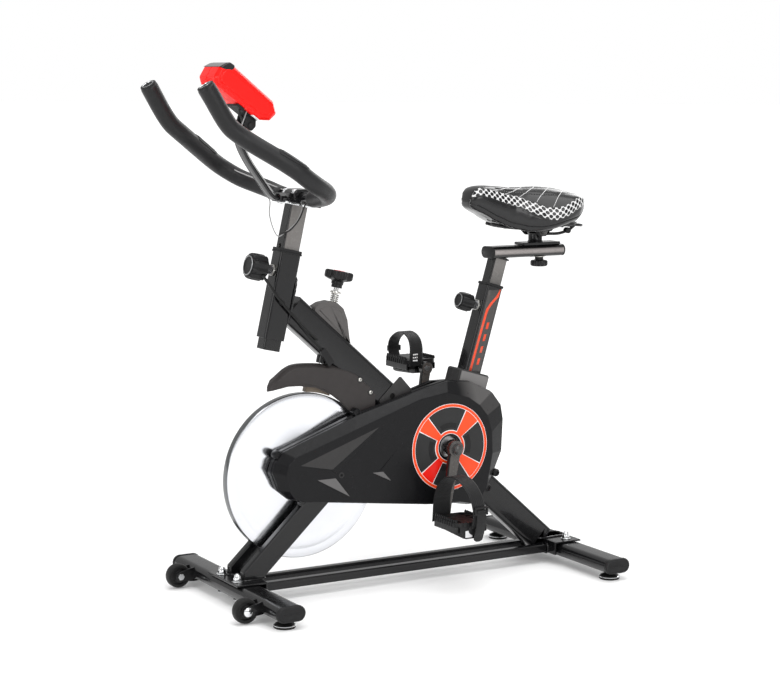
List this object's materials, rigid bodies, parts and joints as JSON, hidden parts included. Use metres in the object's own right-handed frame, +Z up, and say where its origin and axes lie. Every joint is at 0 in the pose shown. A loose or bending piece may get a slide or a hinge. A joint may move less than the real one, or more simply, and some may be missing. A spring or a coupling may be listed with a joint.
{
  "type": "indoor spin bike",
  "caption": "Upright indoor cycling bike: belt-driven flywheel, height-adjustable handlebar post and saddle, friction brake knob, console and transport wheels.",
  "frame": {"origin": "on the floor, on the bike's centre plane, at the middle of its overall length (bottom centre of its bounding box)", "axes": "+Z up, -Y towards the front (the console end), +X towards the rider's left, which is the belt side"},
  "size_m": [0.49, 0.954, 1.0784],
  "materials": {
    "frame_paint": "gloss black powder coat, slightly textured",
    "guard_plastic": "satin moulded black plastic",
    "fender_plastic": "satin dark grey-brown moulded plastic",
    "cap_plastic": "matte black moulded plastic",
    "chrome": "bright plated",
    "steel": "machined steel",
    "flywheel_chrome": "polished plated disc with fine turning marks",
    "rubber": "matte black rubber",
    "foam": "dark foam grip with a soft sheen",
    "console_red": "gloss red moulded plastic",
    "console_black": "gloss black screen surround",
    "disc_orange": "printed plastic disc in orange, grey and white",
    "saddle_leather": "black synthetic leather with a pale printed edge band",
    "saddle_base": "matte black moulded base",
    "grey_plastic": "matte grey plastic cover",
    "knob_plastic": "satin black ribbed plastic",
    "felt": "pressed wool felt",
    "pedal_plastic": "black moulded resin"
  },
  "bodies": {
    "frame": {"main_frame": "frame_paint", "front_stabilizer": "frame_paint", "rear_stabilizer": "frame_paint", "front_cap_left": "cap_plastic", "front_cap_right": "cap_plastic", "front_bolt_left": "chrome", "front_bolt_right": "chrome", "rear_cap_left": "cap_plastic", "rear_cap_right": "cap_plastic", "rear_bolt_left": "chrome", "rear_bolt_right": "chrome", "shaft_bearing_left": "steel", "shaft_bearing_right": "steel", "drive_belt": "rubber", "bottom_bracket": "steel", "guard_outer": "guard_plastic", "guard_inner": "guard_plastic", "guard_right": "guard_plastic", "guard_disc": "disc_orange", "flywheel_fender": "fender_plastic", "brake_cover": "grey_plastic", "post_bush": "cap_plastic", "seat_bush": "cap_plastic"},
    "flywheel": {"flywheel": "flywheel_chrome", "flywheel_shaft": "steel", "small_pulley": "steel"},
    "crank": {"spindle_pulley": "steel", "crank_arm_left": "frame_paint", "crank_arm_right": "frame_paint", "pedal_spindle_left": "steel", "pedal_spindle_right": "steel"},
    "pedal_left": {"pedal_left": "pedal_plastic", "toe_strap_left": "rubber"},
    "pedal_right": {"pedal_right": "pedal_plastic", "toe_strap_right": "rubber"},
    "brake": {"brake_pad": "felt", "brake_shoe": "chrome"},
    "tension_knob": {"tension_knob": "knob_plastic"},
    "handlebar": {"handlebar_post": "frame_paint", "handlebar": "frame_paint", "grip_left": "foam", "grip_right": "foam", "bar_clamp": "frame_paint", "console_stalk": "frame_paint"},
    "console": {"console_housing": "console_red", "console_screen": "console_black"},
    "console_button": {"console_button": "rubber"},
    "post_knob": {"post_knob": "knob_plastic"},
    "seat_knob": {"seat_knob": "knob_plastic"},
    "seat_post": {"seat_post": "frame_paint"},
    "seat_carriage": {"saddle_carriage": "frame_paint"},
    "slider_knob": {"slider_knob": "knob_plastic"},
    "saddle": {"saddle_pan": "saddle_base", "saddle_cushion": "saddle_leather"},
    "wheel_left": {"transport_wheel_left": "rubber"},
    "wheel_right": {"transport_wheel_right": "rubber"},
    "front_foot_left": {"front_foot_left": "rubber"},
    "front_foot_right": {"front_foot_right": "rubber"},
    "rear_foot_left": {"rear_foot_left": "rubber"},
    "rear_foot_right": {"rear_foot_right": "rubber"}
  },
  "joints": [
    {"name": "crank_spin", "type": "hinge", "parent": "frame", "child": "crank", "pos_m": [0, 0.1295, 0.285], "axis": [1, 0, 0], "continuous": true},
    {"name": "flywheel_spin", "type": "hinge", "parent": "frame", "child": "flywheel", "pos_m": [0, -0.194, 0.247], "axis": [1, 0, 0], "continuous": true},
    {"name": "pedal_left_spin", "type": "hinge", "parent": "crank", "child": "pedal_left", "pos_m": [0.14, 0.10452, 0.13709], "axis": [1, 0, 0], "continuous": true},
    {"name": "pedal_right_spin", "type": "hinge", "parent": "crank", "child": "pedal_right", "pos_m": [-0.14, 0.15448, 0.4329], "axis": [1, 0, 0], "continuous": true},
    {"name": "handlebar_height", "type": "slide", "parent": "frame", "child": "handlebar", "axis": [0, 0.2164, 0.9763], "range_m": [-0.04, 0.1]},
    {"name": "seat_height", "type": "slide", "parent": "frame", "child": "seat_post", "axis": [0, 0.2821, 0.9594], "range_m": [-0.045, 0.12]},
    {"name": "seat_fore_aft", "type": "slide", "parent": "seat_post", "child": "seat_carriage", "axis": [0, 1, 0], "range_m": [-0.05, 0.005]},
    {"name": "slider_knob_turn", "type": "hinge", "parent": "seat_carriage", "child": "slider_knob", "pos_m": [0, 0.39, 0.66], "axis": [0, 0, 1], "range_deg": [-180, 180]},
    {"name": "saddle_tilt", "type": "hinge", "parent": "seat_carriage", "child": "saddle", "pos_m": [0, 0.379, 0.728], "axis": [1, 0, 0], "range_deg": [-6, 6]},
    {"name": "console_tilt", "type": "hinge", "parent": "handlebar", "child": "console", "pos_m": [0, -0.312, 0.957], "axis": [1, 0, 0], "range_deg": [-12, 12]},
    {"name": "button_press", "type": "slide", "parent": "console", "child": "console_button", "axis": [0, -0.592, -0.806], "range_m": [0, 0.0015], "stiffness_N_per_m": 300},
    {"name": "post_knob_pull", "type": "slide", "parent": "frame", "child": "post_knob", "axis": [0, -0.9763, 0.2164], "range_m": [0, 0.008], "stiffness_N_per_m": 800},
    {"name": "seat_knob_pull", "type": "slide", "parent": "frame", "child": "seat_knob", "axis": [0, -0.9594, 0.2821], "range_m": [0, 0.008], "stiffness_N_per_m": 800},
    {"name": "tension_knob_turn", "type": "hinge", "parent": "frame", "child": "tension_knob", "pos_m": [0, -0.1035, 0.655], "axis": [0, 0.2164, 0.9763], "range_deg": [0, 720]},
    {"name": "brake_press", "type": "slide", "parent": "frame", "child": "brake", "axis": [0, -0.2164, -0.9763], "range_m": [0, 0.0015]},
    {"name": "wheel_left_spin", "type": "hinge", "parent": "frame", "child": "wheel_left", "pos_m": [0.157, -0.397, 0.027], "axis": [1, 0, 0], "continuous": true},
    {"name": "wheel_right_spin", "type": "hinge", "parent": "frame", "child": "wheel_right", "pos_m": [-0.157, -0.397, 0.027], "axis": [1, 0, 0], "continuous": true},
    {"name": "front_foot_left_adjust", "type": "slide", "parent": "frame", "child": "front_foot_left", "axis": [0, 0, -1], "range_m": [0, 0.006]},
    {"name": "front_foot_right_adjust", "type": "slide", "parent": "frame", "child": "front_foot_right", "axis": [0, 0, -1], "range_m": [0, 0.006]},
    {"name": "rear_foot_left_adjust", "type": "slide", "parent": "frame", "child": "rear_foot_left", "axis": [0, 0, -1], "range_m": [0, 0.006]},
    {"name": "rear_foot_right_adjust", "type": "slide", "parent": "frame", "child": "rear_foot_right", "axis": [0, 0, -1], "range_m": [0, 0.006]}
  ],
  "couplings": [
    {"joint": "crank_spin", "follows": "flywheel_spin", "ratio": 0.25},
    {"joint": "brake_press", "follows": "tension_knob_turn", "m_per_rad": 0.00011937}
  ]
}
